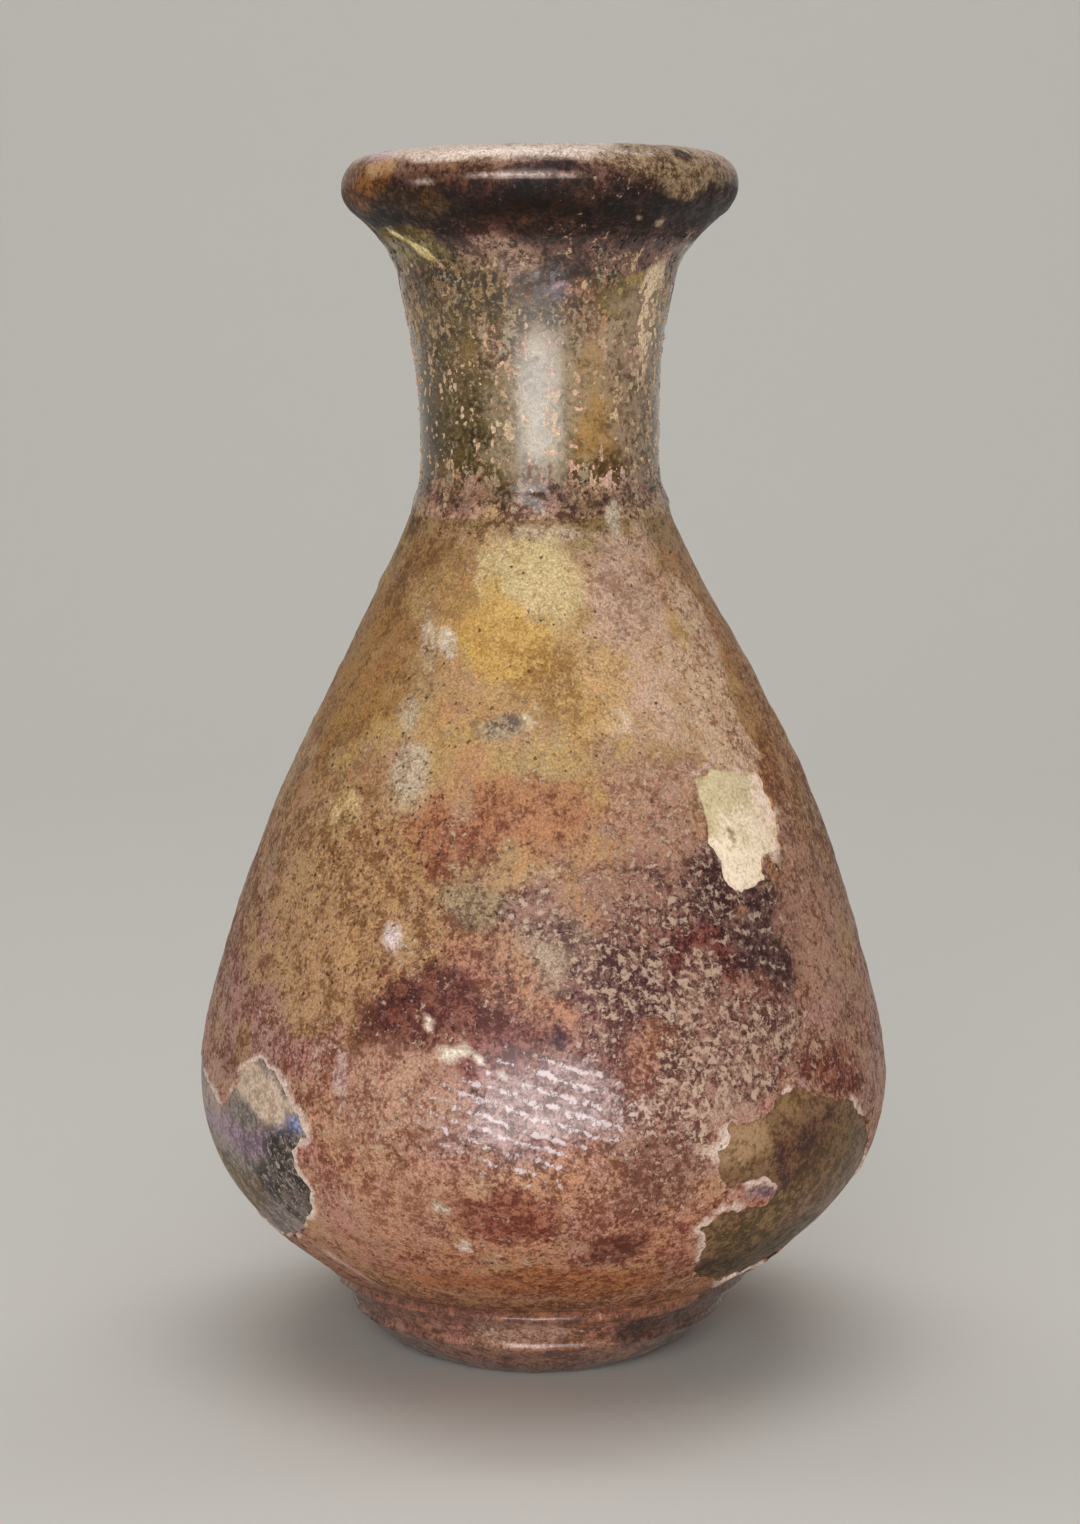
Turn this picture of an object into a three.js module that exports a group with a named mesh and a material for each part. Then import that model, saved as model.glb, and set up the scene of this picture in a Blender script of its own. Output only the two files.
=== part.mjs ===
/*
 * A blown glass bottle of the late Roman kind: a pear-shaped body on a low pushed-in foot, a short neck
 * that opens into a funnel, and a lip folded over into a thick roll.
 *
 * Millimetres, +Z up. The origin lies on the surface that the bottle stands on, under the middle of its belly.
 * The wall is one closed shell, revolved from a section that runs from the middle of the underside, up the
 * outside, over the lip, and down the inside to the middle of the floor.
 */
import * as THREE from 'three';

// Heights above the surface that the bottle stands on.
const HEIGHT = 125;
const LIP_HEIGHT = 121.8;
const FUNNEL_HEIGHT = 113.2;
const WAIST_HEIGHT = 94.9;
const NECK_BASE_HEIGHT = 90.3;
const SHOULDER_HEIGHT = 57.7;
const BELLY_HEIGHT = 29.2;
const FOOT_HEIGHT = 7.2;
const KICK_HEIGHT = 5.2;

// Outer radii at those heights.
const LIP_RADIUS = 20.45;
const FUNNEL_RADIUS = 14.45;
const WAIST_RADIUS = 12.4;
const SHOULDER_RADIUS = 28.35;
const BELLY_RADIUS = 36.3;
const FOOT_RADIUS = 21.1;
const RING_OUTER = 13.6;
const RING_INNER = 11.6;

// The wall, which is thin at the belly and gathers towards the neck, the lip and the foot.
const NECK_WALL = 2.2;
const SHOULDER_WALL = 1.9;
const BELLY_WALL = 1.7;
const FLOOR_WALL = 3.2;
const ROLL_THICKNESS = 5.6;

// The creases that tooling left: one where the neck meets the shoulder, one round the body above the foot.
const NECK_CREASE = 0.12;
const FOOT_CREASE = 0.25;

// How far the middle of the hand-blown wall wanders across at each height: pairs of height and offset.
const WANDER = [[0, -0.6], [12, -0.2], [30, 0], [68, 0.3], [94, -0.3], [109, -0.65], [HEIGHT, -0.3]];

// The lip sags a little on this side.
const LIP_SAG = 0.35;
const LIP_SAG_ANGLE = THREE.MathUtils.degToRad(215);

const SIDES = 48;

const GLASS = new THREE.MeshStandardMaterial({
  name: 'weathered glass',
  color: 0x94694b,
  roughness: 0.42,
  metalness: 0,
  side: THREE.FrontSide,
});

/** A point of the section: its distance from the axis and its height. */
function at(radius, height) {
  return new THREE.Vector2(radius, height);
}

/** The points of a smooth stretch of the section, without its last one, where the next stretch begins. */
function stretch(from, leaving, arriving, to, steps) {
  const curve = new THREE.CubicBezierCurve(from, leaving, arriving, to);
  return curve.getPoints(steps).slice(0, -1);
}

/** The underside: pushed in at the middle, and flat where the bottle stands. */
function underside() {
  const middle = at(0, KICK_HEIGHT);
  const ring = at(RING_INNER, 0);
  return [
    ...stretch(middle, at(5, KICK_HEIGHT), at(RING_INNER - 2.4, 2), ring, 5),
    ring,
  ];
}

/** The foot: rounded under its edge, upright, then hollowed in to the bead where the body begins. */
function foot() {
  const edge = at(FOOT_RADIUS - 1.45, 4.7);
  const hollow = at(FOOT_RADIUS - 0.05, FOOT_HEIGHT - 0.1);
  return [
    ...stretch(at(RING_OUTER, 0), at(RING_OUTER + 2, 0.5), at(edge.x - 1.3, 2.9), edge, 5),
    ...stretch(edge, at(edge.x + 0.45, 5.3), at(FOOT_RADIUS - 0.6, 6.2), hollow, 2),
    hollow,
    at(FOOT_RADIUS + 0.85, FOOT_HEIGHT + 0.8),
    at(FOOT_RADIUS + 1.3, FOOT_HEIGHT + 1.25),
    at(FOOT_RADIUS + 1.5, FOOT_HEIGHT + 1.6 + FOOT_CREASE),
  ];
}

/** The body from the foot over the belly and the shoulder, up to the base of the neck. */
function body() {
  const bottom = at(FOOT_RADIUS + 2.3, FOOT_HEIGHT + 2.25);
  const belly = at(BELLY_RADIUS, BELLY_HEIGHT);
  const shoulder = at(SHOULDER_RADIUS, SHOULDER_HEIGHT);
  const collar = at(WAIST_RADIUS + 1.7, NECK_BASE_HEIGHT - 4);
  const neckBase = at(WAIST_RADIUS + 0.35, NECK_BASE_HEIGHT);
  return [
    ...stretch(bottom, at(30.3, 14.3), at(BELLY_RADIUS, 19.7), belly, 7),
    ...stretch(belly, at(BELLY_RADIUS, 35.1), at(31.7, 49.4), shoulder, 6),
    ...stretch(shoulder, at(25, 66), at(18, 77.9), collar, 6),
    ...stretch(collar, at(13.5, 87.5), at(12.95, 89), neckBase, 2),
    neckBase,
  ];
}

/** The neck, drawn in to its waist, and the funnel above it, up to the underside of the lip. */
function neck() {
  const base = at(WAIST_RADIUS + 0.35 - NECK_CREASE, NECK_BASE_HEIGHT + 0.4);
  const waist = at(WAIST_RADIUS, WAIST_HEIGHT);
  const funnel = at(FUNNEL_RADIUS, FUNNEL_HEIGHT);
  const underLip = at(LIP_RADIUS - 1.05, LIP_HEIGHT - 2.5);
  return [
    ...stretch(base, at(WAIST_RADIUS + 0.05, 92), at(WAIST_RADIUS, 93.5), waist, 2),
    ...stretch(waist, at(WAIST_RADIUS, 104.7), at(13.45, 107.6), funnel, 6),
    ...stretch(funnel, at(15, 115.4), at(17.2, 117.5), underLip, 4),
    underLip,
  ];
}

/** The lip: folded over into a roll, and hollowed towards the mouth. */
function lip() {
  const start = at(LIP_RADIUS - 0.35, LIP_HEIGHT - 1.4);
  const top = at(LIP_RADIUS - 3.6, HEIGHT);
  const mouth = at(LIP_RADIUS - ROLL_THICKNESS, LIP_HEIGHT);
  return [
    ...stretch(start, at(LIP_RADIUS + 0.5, LIP_HEIGHT + 0.6), at(LIP_RADIUS - 0.6, HEIGHT - 0.2), top, 6),
    ...stretch(top, at(top.x - 1.3, HEIGHT + 0.1), at(mouth.x + 0.3, HEIGHT - 1.1), mouth, 4),
    mouth,
  ];
}

/** The inside, down the funnel and the neck, round the body a wall away from the outside, to the floor. */
function inside() {
  const bore = WAIST_RADIUS - NECK_WALL;
  const hollow = at(bore, WAIST_HEIGHT);
  const collar = at(bore + 0.9, NECK_BASE_HEIGHT - 3.4);
  const shoulder = at(SHOULDER_RADIUS - SHOULDER_WALL, SHOULDER_HEIGHT);
  const belly = at(BELLY_RADIUS - BELLY_WALL, BELLY_HEIGHT);
  const heel = at(18, 8.9);
  const floor = at(0, KICK_HEIGHT + FLOOR_WALL);
  const mouth = at(LIP_RADIUS - ROLL_THICKNESS - 0.35, LIP_HEIGHT - 2);
  return [
    ...stretch(mouth, at(12.6, 116.5), at(bore, 111), hollow, 5),
    ...stretch(hollow, at(bore, 92.5), at(bore + 0.1, 89.6), collar, 2),
    ...stretch(collar, at(15, 80), at(23.2, 66), shoulder, 5),
    ...stretch(shoulder, at(29.9, 49.4), at(belly.x, 35.4), belly, 5),
    ...stretch(belly, at(belly.x, 19), at(27.8, 14.4), heel, 6),
    ...stretch(heel, at(12.5, 5.9), at(7, floor.y), floor, 4),
    floor,
  ];
}

/** How far the wall's middle lies across at a height, eased between the stations of WANDER. */
function wander(height) {
  const above = WANDER.findIndex(([z]) => z > height);
  const next = above < 0 ? WANDER.length - 1 : Math.max(above, 1);
  const [lowZ, lowX] = WANDER[next - 1];
  const [highZ, highX] = WANDER[next];
  return THREE.MathUtils.lerp(lowX, highX, THREE.MathUtils.smoothstep(height, lowZ, highZ));
}

/** Moves a revolved wall's points as hand work does: the middle wanders, and the lip sags on one side. */
function workByHand(geometry) {
  const place = geometry.attributes.position;
  for (let i = 0; i < place.count; i += 1) {
    const x = place.getX(i);
    const y = place.getY(i);
    const z = place.getZ(i);
    const inLip = THREE.MathUtils.smoothstep(z, FUNNEL_HEIGHT, HEIGHT);
    const towardsSag = 0.5 + 0.5 * Math.cos(Math.atan2(y, x) - LIP_SAG_ANGLE);
    place.setXYZ(i, x + wander(z), y, z - LIP_SAG * inLip * towardsSag);
  }
  return geometry;
}

const section = [...underside(), ...foot(), ...body(), ...neck(), ...lip(), ...inside()];
const wall = new THREE.LatheGeometry(section, SIDES);
wall.rotateX(Math.PI / 2);

const bottle = new THREE.Mesh(workByHand(wall), GLASS);
bottle.name = 'bottle';

const group = new THREE.Group();
group.name = 'glass_bottle';
group.add(bottle);

export default group;
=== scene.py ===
"""An ancient blown glass bottle under a flaking weathering crust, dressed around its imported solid."""

import logging
import math
from abc import ABC, abstractmethod
from dataclasses import dataclass
from enum import Enum
from typing import ClassVar

import bpy
import numpy as np
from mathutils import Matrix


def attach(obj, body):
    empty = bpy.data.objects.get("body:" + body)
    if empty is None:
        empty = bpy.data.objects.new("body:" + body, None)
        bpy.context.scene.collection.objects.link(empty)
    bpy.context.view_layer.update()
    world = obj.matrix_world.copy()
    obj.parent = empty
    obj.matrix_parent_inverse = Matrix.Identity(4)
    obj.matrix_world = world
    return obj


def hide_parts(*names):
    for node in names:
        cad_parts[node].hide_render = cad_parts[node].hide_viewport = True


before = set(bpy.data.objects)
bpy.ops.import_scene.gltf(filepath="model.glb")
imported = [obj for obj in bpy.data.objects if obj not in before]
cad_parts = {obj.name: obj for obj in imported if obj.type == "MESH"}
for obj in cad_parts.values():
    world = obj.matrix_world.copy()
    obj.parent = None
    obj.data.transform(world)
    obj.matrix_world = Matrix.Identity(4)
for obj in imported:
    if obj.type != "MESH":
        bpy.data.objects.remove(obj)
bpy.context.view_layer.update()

MM = 0.001
BODY = "root"
NODE = "bottle"

Points = np.ndarray
Values = np.ndarray
Spot = tuple[float, float]

# A node's name, kind, settings and links.
Row = tuple[str, str, dict[str | int, object], dict[str | int, str]]

log = logging.getLogger("glass_bottle")


def linear(colour: str) -> tuple[float, float, float, float]:
    """Turns an sRGB hex colour to linear.

    Args:
        colour: The colour as "#RRGGBB".

    Returns:
        Its linear red, green and blue, and an alpha of 1.
    """
    parts = [int(colour[place : place + 2], 16) / 255 for place in (1, 3, 5)]
    turned = [c / 12.92 if c <= 0.04045 else ((c + 0.055) / 1.055) ** 2.4 for c in parts]
    return (*turned, 1.0)


def mixable(colour: str) -> np.ndarray:
    """A hex colour's linear red, green and blue."""
    return np.array(linear(colour)[:3])


def ease(low: float, high: float, values: Values) -> Values:
    """Rises smoothly from 0 to 1 as values go from low to high; low may be the greater of the two."""
    share = np.clip((values - low) / (high - low), 0, 1)
    return share * share * (3 - 2 * share)


def angle_of(places: Points) -> Values:
    """Each place's angle from the front, in degrees, more to the right."""
    return np.degrees(np.arctan2(places[:, 0], -places[:, 1]))


def run_along(points: Points) -> Values:
    """How far along a line of points each point lies."""
    return np.concatenate([[0], np.cumsum(np.linalg.norm(np.diff(points, axis=0), axis=1))])


# Unevenness in space


@dataclass(frozen=True)
class Grain:
    """Random variation in space that is the same on each run.

    Attributes:
        seed: Which variation it is.
        stretch: How much longer its lumps are along each axis.
        CELLS: How many lumps there are along an axis before they repeat.
    """

    seed: int
    stretch: tuple[float, float, float] = (1, 1, 1)

    CELLS: ClassVar = 32

    def at(self, places: Points, size: float, octaves: int = 1) -> Values:
        """Gives the variation at places.

        Args:
            places: The places, in millimetres.
            size: How wide its lumps are, in millimetres.
            octaves: How many times finer and fainter lumps are added, each half as wide.

        Returns:
            A value for each place, mostly between -1 and 1.
        """
        table = np.random.default_rng(self.seed).uniform(-1, 1, (self.CELLS,) * 3)
        total = np.zeros(len(places))
        strength = 1.0
        for octave in range(octaves):
            where = places / (np.array(self.stretch) * size * 0.5**octave) + 17.3 * octave
            total += strength * self._between(table, where)
            strength *= 0.55
        return total

    def _between(self, table: np.ndarray, where: Points) -> Values:
        """Blends a table's values at whole numbers smoothly between them.

        Args:
            table: The values.
            where: The places between them, which repeat past the table's ends.

        Returns:
            The value at each place.
        """
        corner = np.floor(where).astype(int)
        part = where - corner
        part = part * part * part * (part * (part * 6 - 15) + 10)
        blended = np.zeros(len(where))
        for step in np.ndindex(2, 2, 2):
            cell = (corner + step) % self.CELLS
            weight = np.prod(np.where(step, part, 1 - part), axis=1)
            blended += weight * table[cell[:, 0], cell[:, 1], cell[:, 2]]
        return blended * 1.6


# The bottle's form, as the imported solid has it


@dataclass(frozen=True)
class Stretch:
    """A smooth stretch of the wall's section, as a cubic curve of (radius, height) points in millimetres.

    Attributes:
        start: Where it starts.
        leaving: The handle it leaves by.
        arriving: The handle it arrives by.
        end: Where it ends.
        spacing: How far apart the points along it are.
    """

    start: Spot
    leaving: Spot
    arriving: Spot
    end: Spot
    spacing: float

    def points(self) -> Points:
        """The stretch's points at an even spacing, without its last one, where the next stretch starts.

        Returns:
            A radius and a height for each point.
        """
        share = np.linspace(0, 1, 200)[:, None]
        start, leaving, arriving, end = map(np.array, (self.start, self.leaving, self.arriving, self.end))
        fine = (1 - share) ** 3 * start + 3 * (1 - share) ** 2 * share * leaving
        fine = fine + 3 * (1 - share) * share**2 * arriving + share**3 * end
        run = run_along(fine)
        steps = max(1, round(run[-1] / self.spacing))
        marks = np.linspace(0, run[-1], steps + 1)[:-1]
        return np.column_stack([np.interp(marks, run, fine[:, axis]) for axis in (0, 1)])


def joined(start: Spot, *legs: tuple[Spot, Spot, Spot, float]) -> list[Stretch]:
    """Joins stretches end to end.

    Args:
        start: Where the first one starts.
        legs: The two handles, the end and the spacing of each.

    Returns:
        The stretches.
    """
    starts = (start, *(leg[2] for leg in legs))
    return [Stretch(at, *leg) for at, leg in zip(starts, legs)]


@dataclass
class Form:
    """The blown form: its section, and how hand work moved it off a true turning. All in millimetres.

    Attributes:
        fine: How far apart the section's points are on the body and the neck.
        edge: How far apart they are at the lip.
        bead: How far apart they are on the foot.
        bore: How far apart they are inside the neck.
        coarse: How far apart they are inside the body.
        height: How tall the bottle is.
        funnel_height: Where the funnel turns out to the lip, from which the lip's sag starts.
        lip_sag: How far the lip sags on one side.
        lip_sag_angle: Which side that is, in radians anticlockwise from the right, seen from above.
        wander: How far the wall's middle lies to the right, as heights and offsets.
    """

    fine: float = 0.7
    edge: float = 0.46
    bead: float = 0.2
    bore: float = 1.2
    coarse: float = 3.5
    height: float = 125.0
    funnel_height: float = 113.2
    lip_sag: float = 0.35
    lip_sag_angle: float = math.radians(215)
    wander: tuple[Spot, ...] = (
        (0, -0.6), (12, -0.2), (30, 0), (68, 0.3), (94, -0.3), (109, -0.65), (125, -0.3),
    )

    def underside(self) -> list[Stretch]:
        """The pushed-in underside and the flat ring that the bottle stands on.

        Returns:
            Its stretches, from the middle out.
        """
        return joined(
            (0, 5.2),
            ((5, 5.2), (9.2, 2), (11.6, 0), 1.2),
            ((12.3, 0), (12.9, 0), (13.6, 0), 1.0),
        )

    def outside(self) -> list[Stretch]:
        """The outside, from the ring up to the mouth.

        Returns:
            Its stretches, from the ring up.
        """
        return joined(
            (13.6, 0),
            ((15.6, 0.5), (18.35, 2.9), (19.65, 4.7), 1.5 * self.bead),
            ((20.1, 5.3), (20.5, 6.2), (21.05, 7.1), self.bead),
            ((21.3, 7.5), (21.7, 7.8), (21.95, 8.0), self.bead),
            ((22.25, 8.25), (22.35, 8.5), (22.6, 9.05), self.bead),
            ((22.8, 9.2), (23.1, 9.3), (23.4, 9.45), self.bead),
            ((30.3, 14.3), (36.3, 19.7), (36.3, 29.2), self.fine),
            ((36.3, 35.1), (31.7, 49.4), (28.35, 57.7), self.fine),
            ((25, 66), (18, 77.9), (14.1, 86.3), self.fine),
            ((13.5, 87.5), (12.95, 89), (12.75, 90.3), self.fine),
            ((12.68, 90.5), (12.66, 90.6), (12.63, 90.7), self.edge),
            ((12.45, 92), (12.4, 93.5), (12.4, 94.9), self.fine),
            ((12.4, 104.7), (13.45, 107.6), (14.45, 113.2), self.fine),
            ((15, 115.4), (17.2, 117.5), (19.4, 119.3), self.edge),
            ((19.65, 119.6), (19.9, 120), (20.1, 120.4), self.edge),
            ((20.95, 122.4), (19.85, 124.8), (16.85, 125), self.edge),
            ((15.55, 125.1), (15.15, 123.9), (14.85, 121.8), self.edge),
        )

    def inside(self) -> list[Stretch]:
        """The inside, from the mouth down to the middle of the floor.

        Returns:
            Its stretches, from the mouth down.
        """
        return joined(
            (14.85, 121.8),
            ((14.75, 121.1), (14.6, 120.4), (14.5, 119.8), self.edge),
            ((12.6, 116.5), (10.2, 111), (10.2, 94.9), self.bore),
            ((10.2, 92.5), (10.3, 89.6), (11.1, 86.9), self.coarse),
            ((15, 80), (23.2, 66), (26.45, 57.7), self.coarse),
            ((29.9, 49.4), (34.6, 35.4), (34.6, 29.2), self.coarse),
            ((34.6, 19), (27.8, 14.4), (18, 8.9), self.coarse),
            ((12.5, 5.9), (7, 8.4), (0, 8.4), self.coarse),
        )

    def outline(self) -> Points:
        """The outside's points, up to where the lip is widest."""
        return np.vstack([stretch.points() for stretch in self.outside()[:-2]])

    def centre(self, height: Values) -> Values:
        """How far the wall's middle lies across at a height.

        Args:
            height: The heights, in millimetres.

        Returns:
            How far to the right it lies at each, in millimetres.
        """
        stations, offsets = map(np.array, zip(*self.wander))
        above = np.clip(np.searchsorted(stations, height, side="right"), 1, len(stations) - 1)
        share = ease(0, 1, (height - stations[above - 1]) / (stations[above] - stations[above - 1]))
        return offsets[above - 1] + (offsets[above] - offsets[above - 1]) * share

    def work_by_hand(self, places: Points) -> Points:
        """Moves turned places as the hand-blown wall lies: its middle wanders, and the lip sags on one side.

        Args:
            places: The places on the turned form, in millimetres.

        Returns:
            The places on the worked form.
        """
        x, y, z = places.T
        in_lip = ease(self.funnel_height, self.height, z)
        towards_sag = 0.5 + 0.5 * np.cos(np.arctan2(y, x) - self.lip_sag_angle)
        return np.column_stack([x + self.centre(z), y, z - self.lip_sag * in_lip * towards_sag])


# Patches where the crust has flaked away, and the stains on it


@dataclass(frozen=True)
class Stain:
    """A mottled area of the surface, soft at its edge.

    Attributes:
        angle: Its middle's angle from the front, in degrees, more to the right.
        height: Its middle's height, in millimetres.
        wide: Half its width, in millimetres.
        high: Half its height, in millimetres.
        ground: The colour of most of it.
        shade: The darker colour that mottles it.
        cover: How much of it the darker colour covers, from 0 to 1.
        strength: How fully it hides what lies under it.
        chips: How thickly pale grains lie on it, from 0 to 1.
        slant: How far it leans, in degrees, top to the left.
    """

    angle: float
    height: float
    wide: float
    high: float
    ground: str
    shade: str
    cover: float
    strength: float = 0.85
    chips: float = 0.5
    slant: float = 0.0

    def share(self, places: Points, grain: Values) -> Values:
        """How much of the stain there is at places.

        Args:
            places: The places, in millimetres.
            grain: Variation that makes the edge uneven.

        Returns:
            A value from 0 to the stain's strength for each place.
        """
        radius = np.hypot(places[:, 0], places[:, 1])
        angle = np.arctan2(places[:, 0], -places[:, 1]) - math.radians(self.angle)
        across = ((angle + math.pi) % (2 * math.pi) - math.pi) * radius
        up = places[:, 2] - self.height
        turn = math.radians(self.slant)
        leant_across = (across * math.cos(turn) - up * math.sin(turn)) / self.wide
        leant_up = (across * math.sin(turn) + up * math.cos(turn)) / self.high
        distance = np.hypot(leant_across, leant_up) + 0.34 * grain
        return self.strength * ease(1.2, 0.7, distance)


@dataclass(frozen=True)
class Band:
    """The surface's colours at a height, all round: its ground, its shade and how much the shade covers."""

    height: float
    ground: str
    shade: str
    cover: float


@dataclass(frozen=True)
class Patch:
    """A place where the crust has flaked off.

    Attributes:
        outline: Its corners, as degrees to the right of the front and heights in millimetres.
        radius: The wall's radius there, which turns degrees to millimetres.
        ragged: How far its edge strays from the line between its corners, in millimetres.
        ground: The colour of most of what it bares.
        shade: The darker colour that mottles it.
        rim: How much of its broken edge is pale: none at -1, all of it at 1.
    """

    outline: tuple[Spot, ...]
    radius: float
    ragged: float
    ground: str
    shade: str
    rim: float

    def stain(self) -> Stain:
        """What the patch bares, as a stain."""
        return Stain(0, 0, 1, 1, self.ground, self.shade, 0.45, chips=0.25)

    def outside_by(self, angle: Values, height: Values, grain: Values) -> Values:
        """How far places lie outside the patch, in millimetres, less than 0 within it.

        Args:
            angle: Each place's angle from the front, in degrees.
            height: Each place's height, in millimetres.
            grain: Variation that makes the edge ragged, about -1 to 1.

        Returns:
            The distance of each place.
        """
        corners = np.array(self.outline)
        across = np.radians(corners[:, 0]) * self.radius
        corners = np.column_stack([across, corners[:, 1]])
        middle = corners[:, 0].mean() / self.radius
        turned = (np.radians(angle) - middle + math.pi) % (2 * math.pi) - math.pi
        places = np.column_stack([(turned + middle) * self.radius, height])
        nearest = np.full(len(places), 1e9)
        within = np.zeros(len(places), bool)
        for start, end in zip(corners, np.roll(corners, -1, axis=0)):
            side = end - start
            share = np.clip(((places - start) @ side) / (side @ side), 0, 1)
            nearest = np.minimum(nearest, np.linalg.norm(places - start - share[:, None] * side, axis=1))
            crosses = (start[1] > places[:, 1]) != (end[1] > places[:, 1])
            rise = side[1] if side[1] else 1e-9
            meets = start[0] + (places[:, 1] - start[1]) * side[0] / rise
            within ^= crosses & (places[:, 0] < meets)
        return np.where(within, -nearest, nearest) + self.ragged * grain


@dataclass(frozen=True)
class Oval:
    """An oval area of the surface, soft at its edge.

    Attributes:
        angle: Its middle's angle from the front, in degrees, more to the right.
        height: Its middle's height, in millimetres.
        wide: Half its width, in degrees.
        high: Half its height, in millimetres.
        outer: Where its edge ends, as a share of its half width and half height.
        inner: Where its edge begins.
    """

    angle: float
    height: float
    wide: float
    high: float
    outer: float = 1.2
    inner: float = 0.6

    def share(self, places: Points) -> Values:
        """1 in the oval's middle, falling to 0 past its edge."""
        across, up = (angle_of(places) - self.angle) / self.wide, (places[:, 2] - self.height) / self.high
        return ease(self.outer, self.inner, np.hypot(across, up))


# The crust's broken edge round a flaked patch, whose layers show pale.
RIM = Stain(0, 0, 1, 1, "#E6CABA", "#C09A88", 0.25, chips=0.6)

PATCHES = (
    Patch(
        ((-85, 32), (-77, 31.4), (-70, 29.8), (-63, 29.2), (-60, 31.0), (-57, 33.4), (-52, 34.6), (-47, 33.6),
         (-43.5, 31.8), (-41, 30.6), (-40, 28.6), (-43, 26.6), (-43, 24.9), (-40, 23.0), (-40.5, 20.6),
         (-45, 18.2), (-49, 17.0), (-52, 16.0), (-64, 14.6), (-80, 15.5), (-92, 20), (-94, 28)),
        36, 0.32, "#9A8A80", "#665A56", 0.8,
    ),
    Patch(
        ((27.5, 28.0), (30.5, 30.2), (35, 31.0), (39, 32.2), (44, 32.6), (50, 31.8), (57, 30.2), (64, 27.6),
         (70, 24), (76, 19), (77, 13), (62, 11.2), (46, 11.4), (34, 12.6), (30.5, 14.6), (29, 17.4), (27, 20),
         (30, 21.8), (34, 21.6), (40, 21.0), (41, 23.4), (36, 24.6), (31.5, 24.2), (28, 25.6)),
        35, 0.42, "#866444", "#5A3A22", 0.0,
    ),
    Patch(
        ((34.6, 62.6), (40, 63.5), (47, 63.3), (53.0, 62.4), (55.4, 60.3), (53.8, 56.6), (50.4, 55.6),
         (46.6, 54.7), (45.6, 53.0), (42.2, 51.9), (39, 51.6), (35.6, 52.8), (35.4, 55.0), (34.9, 56.6),
         (33.8, 59.0)),
        28, 0.36, "#D2BA8A", "#B89C6E", -0.2,
    ),
)

BANDS = (
    Band(-1, "#7A5342", "#3C231C", 0.5),
    Band(5, "#AC7A64", "#6C4232", 0.4),
    Band(8.5, "#985F46", "#5C3828", 0.42),
    Band(12, "#B4805A", "#703E26", 0.45),
    Band(20, "#BE8668", "#783E2E", 0.45),
    Band(28, "#BC8C74", "#78442E", 0.42),
    Band(38, "#B88874", "#703E30", 0.45),
    Band(48, "#B28462", "#6E3E2A", 0.45),
    Band(58, "#B28860", "#764A30", 0.4),
    Band(68, "#BC9664", "#906640", 0.34),
    Band(78, "#BC9662", "#90683C", 0.34),
    Band(86, "#AC8A62", "#64442A", 0.42),
    Band(90, "#7E6032", "#4A3416", 0.45),
    Band(95, "#AE8850", "#684A22", 0.44),
    Band(103, "#AE8854", "#644624", 0.44),
    Band(109, "#A07E4C", "#5C401C", 0.48),
    Band(113, "#80624A", "#402818", 0.55),
    Band(115.5, "#7A5646", "#3A2018", 0.56),
    # Near black from 117 to 121 mm, under the lip's roll: painted shade where its underside faces away from the
    # light.
    Band(117.3, "#4A2E22", "#1C0D08", 0.6),
    Band(119.0, "#22110A", "#0C0402", 0.6),
    Band(120.6, "#341A12", "#120604", 0.58),
    Band(121.8, "#5C3A2A", "#28120C", 0.58),
    Band(123.0, "#9A7460", "#52301F", 0.5),
    # Lighter up over the lip's top: painted light falling from above on the crust's pinkish tan.
    Band(123.9, "#BC9C8A", "#7C5848", 0.45),
    Band(124.6, "#E4CEC0", "#A88C7C", 0.3),
    Band(126, "#B4968A", "#6A4A3C", 0.45),
)

BARED_STAINS = (
    Stain(-54, 31.4, 8, 2.4, "#D8BEA8", "#B29880", 0.35, 1, 0.1),
    Stain(-70, 28.4, 6, 2.4, "#BC9E94", "#8E726A", 0.4, 0.9, 0.3),
    Stain(-60, 26.2, 9, 2, "#A88C98", "#705A68", 0.45, 1, 0.3),
    Stain(-42.2, 29.5, 1, 0.7, "#8C9CC4", "#545C8C", 0.5, 0.8),
    Stain(-44.5, 28.2, 1.5, 0.7, "#868AA8", "#505074", 0.5, 0.6),
    Stain(-45, 22.2, 5.6, 4.6, "#6C5C52", "#2A2220", 0.6, 1, 0.55),
    Stain(-66, 20, 7, 4, "#8E7040", "#523C1C", 0.5, 0.95, 0.2),
    Stain(33, 28.6, 4, 3, "#B08C68", "#80603E", 0.42, 0.9, 0.25),
    Stain(44, 31.8, 5, 2.4, "#9A7850", "#6C4A2C", 0.45, 0.9, 0.25),
    Stain(46, 27, 5.6, 3.4, "#744A34", "#3E2216", 0.55, 0.95, 0.25),
    Stain(60, 24, 7, 4.6, "#7E5A2C", "#4E3214", 0.5, 0.85, 0.2),
    Stain(38, 18.4, 5, 3, "#8C6C3E", "#503A1A", 0.5, 0.9, 0.3),
    Stain(52, 14.6, 9, 3.6, "#5E4422", "#32220C", 0.5, 0.9, 0.15),
    Stain(44, 61, 8, 3.2, "#DECAA2", "#C6AE84", 0.3, 1, 0),
    Stain(42, 54.4, 7.4, 3.6, "#FFE9CE", "#E6CEA8", 0.25, 1, 0),
    Stain(53, 59.8, 1.5, 2.8, "#FFE4CE", "#DCB898", 0.3, 1, 0.3, 20),
    Stain(40, 57.4, 0.4, 0.5, "#8C7850", "#6A5838", 0.5, 0.9, 0),
)

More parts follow.
